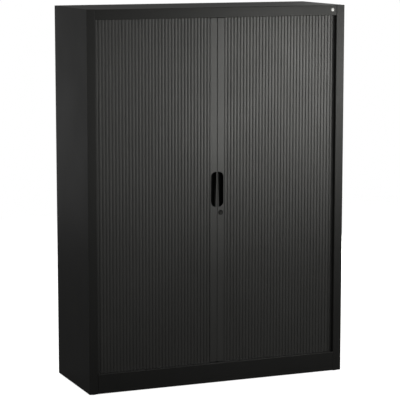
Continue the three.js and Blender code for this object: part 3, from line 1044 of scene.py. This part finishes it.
@dataclass
class LeadRail:
    """The rail at a shutter's leading edge, with its finger cup and guide shoes."""

    shop: Shop
    side: Side
    edge: float = 0.0005
    seam_edge: float = 0.0019
    seam_x: float = 0.0005
    seam_segments: int = 5
    shoe_edge: float = 0.0006
    cup_inner: float = 0.00375
    cup_outer: float = 0.02925
    cup_low: float = 0.7840
    cup_high: float = 0.9370
    cup_radius: float = 0.0215
    cup_wall: float = 0.0010
    cup_segments: int = 12
    front: float = -0.1950
    cup_back: float = -0.1770

    def build(self) -> None:
        """Builds the rail, the cup and the shoes."""
        word, body = self.side.word, f"{self.side.word}_door"
        form = self.shop.merged(f"{word}_lead_rail")
        soften(form, self.edge, spared=self.seam(form))
        bevel(form, self.seam(form), self.seam_edge, self.seam_segments)
        self.shop.piece(form, f"{word}_rail_extrusion", RAIL_PLASTIC, body, [f"{word}_lead_rail"])
        # The cup's colour holds painted shade: its black is darkened further for the shade in the
        # recess.
        self.shop.piece(
            mirrored(self.cup(), self.side), f"{word}_cup_shell", CUP_PLASTIC_AND_PAINTED_SHADE, body,
            [f"{word}_finger_cup"],
        )
        for end in ("bottom", "top"):
            shoe = f"{word}_{end}_guide_shoe"
            self.shop.dress(shoe, "moulded", MOULDED_PLASTIC, self.shoe_edge, body)

    def seam(self, form: Form) -> list[Edge]:
        """The upright edge of the rail where the two doors meet, in as many parts as it has."""
        x, y = self.seam_x + NEAR, self.front + NEAR
        return [e for e in form.edges if all(abs(v.co.x) < x and v.co.y < y for v in e.verts)]

    def cup(self) -> Form:
        """The finger cup: a deep dish with a flat bottom and two rounded corners.

        Returns:
            The cup of the right-hand rail.
        """
        form = bmesh.new()
        x0, x1, z0, z1 = self.cup_inner, self.cup_outer, self.cup_low, self.cup_high
        face = polygon(form, [(x0, self.front, z0), (x1, self.front, z0),
                              (x1, self.front, z1), (x0, self.front, z1)])
        outer = [v for v in face.verts if v.co.x > (x0 + x1) / 2]
        bevel(form, outer, self.cup_radius, self.cup_segments, Rounding.CORNERS)
        form.faces.ensure_lookup_table()
        mouth = form.faces[0]
        bmesh.ops.inset_individual(form, faces=[mouth], thickness=self.cup_wall)
        rim = [e for e in form.edges if e.is_boundary]
        depth = self.cup_back - self.front
        push(form, [mouth], (0.0, depth - self.cup_wall, 0.0))
        bmesh.ops.delete(form, geom=[mouth], context="FACES_ONLY")
        skirt = bmesh.ops.extrude_edge_only(form, edges=rim)["geom"]
        bmesh.ops.translate(form, verts=only(skirt, Vert), vec=(0.0, depth, 0.0))
        bmesh.ops.contextual_create(form, geom=only(skirt, Edge))
        face_out(form)
        return form


@dataclass
class CamLock:
    """The cam lock in the right lead rail, and the striker in the left one."""

    shop: Shop
    x: float = 0.01675
    z: float = 0.7580
    front: float = -0.1965
    plug_front: float = -0.1960
    plug_radius: float = 0.0060
    plug_chamfer: float = 0.0003
    plug_dish: Profile = ((0.0, 0.0002), (0.72, 0.0001), (0.8, 0.0))
    barrel_end: float = -0.1790
    tail_radius: float = 0.0030
    tail_end: float = -0.1740
    tail_chamfer: float = 0.0004
    bezel: Profile = (
        (0.0063, 0.0005), (0.0069, 0.0), (0.0098, 0.0), (0.0106, 0.0003), (0.0110, 0.0009),
        (0.0110, 0.0012), (0.0090, 0.0012), (0.0090, 0.0175), (0.0063, 0.0175), (0.0063, 0.0005),
    )
    hook_edge: float = 0.0004
    striker_edge: float = 0.0003
    keyway: tuple[float, float, float] = (0.00175, 0.0070, 0.0030)

    def build(self) -> None:
        """Builds the bezel, the plug, the hook and the striker."""
        bezel = turned(self.bezel, (self.x, self.front, self.z))
        self.shop.piece(bezel, "lock_bezel_turned", LOCK_ENAMEL, "right_door", ["lock_bezel"])
        self.shop.piece(
            self.plug(), "lock_plug_turned", LOCK_NICKEL, "lock_cylinder", ["lock_plug"]
        )
        self.shop.dress("lock_hook", "stamped", ZINC, self.hook_edge, "lock_cylinder")
        self.shop.dress("lock_striker", "riveted", ZINC, self.striker_edge, "left_door")

    def plug(self) -> Form:
        """The plug, with a dished face, its keyway and the tail that carries the hook.

        Returns:
            The plug.
        """
        r, length = self.plug_radius, self.barrel_end - self.plug_front
        thin, cut, tail = self.tail_radius, self.tail_chamfer, self.tail_end - self.plug_front
        profile = [*scaled(self.plug_dish, r), (r - self.plug_chamfer, 0.0),
                   (r, self.plug_chamfer), (r, length), (thin, length), (thin, tail - cut),
                   (thin - cut, tail), (0.0, tail)]
        form = turned(profile, (self.x, self.plug_front, self.z))
        width, height, depth = self.keyway
        slot = brick(
            (self.x - width / 2, self.plug_front - depth, self.z - height / 2),
            (self.x + width / 2, self.plug_front + depth, self.z + height / 2),
        )
        return carve(form, slot)


@dataclass
class Interior:
    """What stands behind the shutters: floor, liners, back, uprights, clips, shelves, buffers."""

    shop: Shop
    shelves: int = 3
    edge: float = 0.0003
    shelf_edge: float = 0.0007
    shelf_segments: int = 3
    clip_edge: float = 0.0004
    buffer_edge: float = 0.0012
    buffer_segments: int = 4

    def build(self) -> None:
        """Rounds and finishes the inner pieces."""
        numbers = range(1, self.shelves + 1)
        coated = ["floor_tray", "inner_back_panel"]
        clips: list[str] = []
        for word in (side.word for side in Side):
            coated += [f"{word}_liner", f"{word}_front_upright", f"{word}_rear_upright"]
            for end in ("front", "rear"):
                clips += [f"{word}_{end}_shelf_clip_{i}" for i in numbers]
        for node in coated:
            self.shop.dress(node, "coated", INNER_PAINT, self.edge)
        for i in numbers:
            self.shop.dress(
                f"shelf_{i}", "coated", INNER_PAINT, self.shelf_edge, segments=self.shelf_segments
            )
        for node in clips:
            self.shop.dress(node, "plated", ZINC, self.clip_edge)
        for side in Side:
            self.shop.dress(
                f"{side.word}_door_buffer", "moulded", RUBBER, self.buffer_edge,
                segments=self.buffer_segments,
            )


@dataclass
class LevellingFeet:
    """The four screw feet: a pad, a threaded stud and a hexagon to turn it by."""

    shop: Shop
    x: float = 0.5760
    y: float = 0.1910
    pad_radius: float = 0.0150
    pad_height: float = 0.0035
    pad_sole: Profile = ((0.0012, 0.0), (0.0004, 0.0004), (0.0, 0.0012))
    pad_brow: Profile = ((0.0, 0.0010), (0.0008, 0.0002), (0.0016, 0.0))
    pad_fillet: float = 0.0003
    steps: int = 32
    stud_radius: float = 0.0050
    stud_top: float = 0.0500
    stud_chamfer: float = 0.0006
    thread_pitch: float = 0.0015
    thread_depth: float = 0.0007
    thread_start: float = 0.0010
    thread_bare: float = 0.0020
    collar_radius: float = 0.0090
    collar_low: float = 0.0177
    collar_high: float = 0.0237
    collar_edge: float = 0.0006
    collar_segments: int = 2

    def build(self) -> None:
        """Builds the feet."""
        for end, y in (("front", -self.y), ("rear", self.y)):
            for side in Side:
                name = f"{side.word}_{end}_levelling_foot"
                at = (side.value * self.x, y, 0.0)
                body = f"{side.word}_{end}_foot"
                self.shop.piece(self.foot(at), f"{name}_threaded", ZINC, body, [name])

    def foot(self, at: Point) -> Form:
        """One foot.

        Args:
            at: Its place on the floor.

        Returns:
            The foot.
        """
        r, h, core = self.pad_radius, self.pad_height, self.stud_radius - self.thread_depth
        profile = [(0.0, 0.0)]
        profile += [(r - inset, up) for inset, up in self.pad_sole]
        profile += [(r - inset, h - down) for inset, down in self.pad_brow]
        profile += [(core, h + self.pad_fillet)]
        for i in range(int((self.stud_top - h - self.thread_bare) / self.thread_pitch)):
            z = h + self.thread_start + i * self.thread_pitch
            profile += [(core, z), (self.stud_radius, z + self.thread_pitch / 2)]
        profile += [(core, self.stud_top - self.stud_chamfer),
                    (core - self.stud_chamfer, self.stud_top), (0.0, self.stud_top)]
        form = turned(profile, at, self.steps, Axis.UP)
        nut = bmesh.new()
        depth = self.collar_high - self.collar_low
        bmesh.ops.create_cone(
            nut, cap_ends=True, segments=6, radius1=self.collar_radius,
            radius2=self.collar_radius, depth=depth,
        )
        bevel(nut, nut.edges, self.collar_edge, self.collar_segments)
        middle = (self.collar_high + self.collar_low) / 2
        bmesh.ops.translate(nut, verts=nut.verts, vec=Vector(at) + Vector((0.0, 0.0, middle)))
        join(form, nut)
        return form


@dataclass
class Lamp:
    """An area light that looks at a point."""

    name: str
    at: Point
    aim: Point
    size: tuple[float, float]
    watts: float
    colour: Colour = (1.0, 1.0, 0.955)

    def build(self) -> None:
        """Adds the light."""
        data = bpy.data.lights.new(self.name, "AREA")
        data.shape = "RECTANGLE"
        data.size, data.size_y = self.size
        data.energy = self.watts
        data.color = self.colour
        made = stand(self.name, data)
        made.location = self.at
        way = Vector(self.aim) - Vector(self.at)
        made.rotation_euler = way.to_track_quat("-Z", "Y").to_euler()
        made.visible_camera = False


@dataclass
class Studio:
    """Camera, lamps, white surroundings and the floor."""

    eye: Point = (-3.038, -7.380, 1.989)
    yaw: float = 22.37
    pitch: float = 8.57
    focal_pixels: float = 1810.0
    picture_pixels: float = 400.0
    sensor: float = 36.0
    ambient: float = 0.12
    mirrored_white: float = 0.30
    drape_top: tuple[float, ...] = (0.50, 0.95, 0.02, 3.0)
    drape_foot: tuple[float, ...] = (-0.03, 0.0, 1.0, 0.0)
    floor_half: float = 4.5
    floor_pale: float = 0.95
    floor_dark: float = 0.06
    floor_glow: float = 0.86
    mirrored_floor: float = 0.05
    lamps: list[Lamp] = field(default_factory=lambda: [
        Lamp("right_softbox", (1.50, -1.80, 1.32), (0.3, -0.2, 1.3), (0.5, 0.5), 8.0),
        Lamp("upper_softbox", (1.00, -2.00, 1.37), (0.3, -0.2, 1.37), (0.5, 0.5), 4.1),
        Lamp("front_softbox", (1.00, -2.00, 1.02), (0.3, -0.2, 1.0), (0.5, 0.5), 4.4),
        Lamp("low_strip", (1.30, -2.00, 0.75), (0.3, -0.2, 0.75), (2.0, 0.4), 5.0),
        Lamp("front_fill", (-2.60, -2.60, 1.30), (0.0, 0.0, 1.0), (1.0, 1.0), 22.0),
        Lamp("left_softbox", (-2.20, 0.40, 1.20), (-0.6, 0.0, 1.2), (0.8, 0.8), 3.4),
        Lamp("back_softbox", (2.60, 2.80, 0.95), (0.0, 0.0, 0.8), (1.4, 1.0), 45.0),
        Lamp("overhead_softbox", (0.20, 0.50, 4.40), (0.0, 0.0, 1.65), (1.6, 1.6), 24.0),
        Lamp("top_softbox", (1.90, 1.60, 2.50), (0.5, 0.0, 1.65), (0.5, 0.5), 11.0),
    ])

    def build(self) -> None:
        """Sets the camera, the world, the lamps, the floor and the view settings."""
        self.camera()
        self.world()
        for lamp in self.lamps:
            lamp.build()
        self.floor()
        bpy.context.scene.view_settings.view_transform = "Standard"

    def camera(self) -> None:
        """Places the camera where the photograph was taken."""
        data = bpy.data.cameras.new("camera")
        data.sensor_width = self.sensor
        data.lens = self.focal_pixels / self.picture_pixels * self.sensor
        made = stand("camera", data)
        made.location = self.eye
        made.rotation_euler = (math.radians(90.0 - self.pitch), 0.0, math.radians(-self.yaw))
        bpy.context.scene.camera = made

    def world(self) -> None:
        """White surroundings for every ray that sees them, and plain soft light for the object."""
        world = bpy.data.worlds.new("white_studio")
        world.use_nodes = True
        bpy.context.scene.world = world
        board = Board(world.node_tree)
        seen, glossy = board.rays()
        mirrored = board.sum(
            "MULTIPLY", board.sum("MULTIPLY", glossy, self.mirrored_white), self.drape(board)
        )
        white = board.sum("MAXIMUM", seen, mirrored)
        glow = board.place("ShaderNodeBackground")
        glow.inputs["Color"].default_value = (1.0, 1.0, 1.0, 1.0)
        board.wire(board.sum("MAXIMUM", self.ambient, white), glow.inputs["Strength"])
        out = board.place("ShaderNodeOutputWorld")
        board.wire(glow.outputs["Background"], out.inputs["Surface"])

    def drape(self, board: Board) -> Socket:
        """A share that falls just above the horizon, as dark drapes round a studio give.

        Args:
            board: The world's node tree.

        Returns:
            The share of the white that a mirrored ray finds, by its height.
        """
        way = board.place("ShaderNodeTexCoord")
        height = board.place("ShaderNodeSeparateXYZ")
        board.wire(way.outputs["Generated"], height.inputs["Vector"])
        shares = []
        for start, end, first, last in (self.drape_top, self.drape_foot):
            ramp = board.place("ShaderNodeMapRange")
            board.wire(height.outputs["Z"], ramp.inputs["Value"])
            values = {"From Min": start, "From Max": end, "To Min": first, "To Max": last}
            for name, value in values.items():
                ramp.inputs[name].default_value = value
            shares.append(ramp.outputs["Result"])
        return board.sum("MAXIMUM", *shares)

    def floor(self) -> None:
        """A floor that is pale to the eye, keeps the shadow and throws little light back up."""
        form = bmesh.new()
        bmesh.ops.create_grid(form, x_segments=1, y_segments=1, size=self.floor_half)
        mesh = written(form, "studio_floor")
        material = bpy.data.materials.new("white_floor")
        material.use_nodes = True
        board = Board(material.node_tree)
        seen, glossy = board.rays()
        tone = board.mix(seen, (self.floor_dark,) * 3, (self.floor_pale,) * 3)
        shade = board.place("ShaderNodeBsdfDiffuse")
        board.wire(tone, shade.inputs["Color"])
        glow = board.place("ShaderNodeEmission")
        mirrored = board.sum("MULTIPLY", glossy, self.mirrored_floor)
        plain = board.sum("MULTIPLY", seen, self.floor_glow)
        board.wire(board.sum("MAXIMUM", plain, mirrored), glow.inputs["Strength"])
        both = board.place("ShaderNodeAddShader")
        board.wire(shade.outputs["BSDF"], both.inputs[0])
        board.wire(glow.outputs["Emission"], both.inputs[1])
        out = board.place("ShaderNodeOutputMaterial")
        board.wire(both.outputs["Shader"], out.inputs["Surface"])
        mesh.materials.append(material)
        stand("studio_floor", mesh)


def corners(box: tuple[Vector, Vector]) -> list[list[float]]:
    """A box's corners as plain lists."""
    return [[float(c) for c in corner] for corner in box]


def main() -> None:
    """Builds every sub-assembly in order."""
    logging.basicConfig(level=logging.INFO, format="%(name)s %(message)s")
    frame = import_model()
    shop = Shop(frame["nodes"])
    Studio().build()
    Casing(shop).build()
    Tracks(shop).build()
    for side in Side:
        Curtain(shop, side).build()
        LeadRail(shop, side).build()
    CamLock(shop).build()
    Interior(shop).build()
    LevellingFeet(shop).build()


if __name__ == "__main__":
    main()
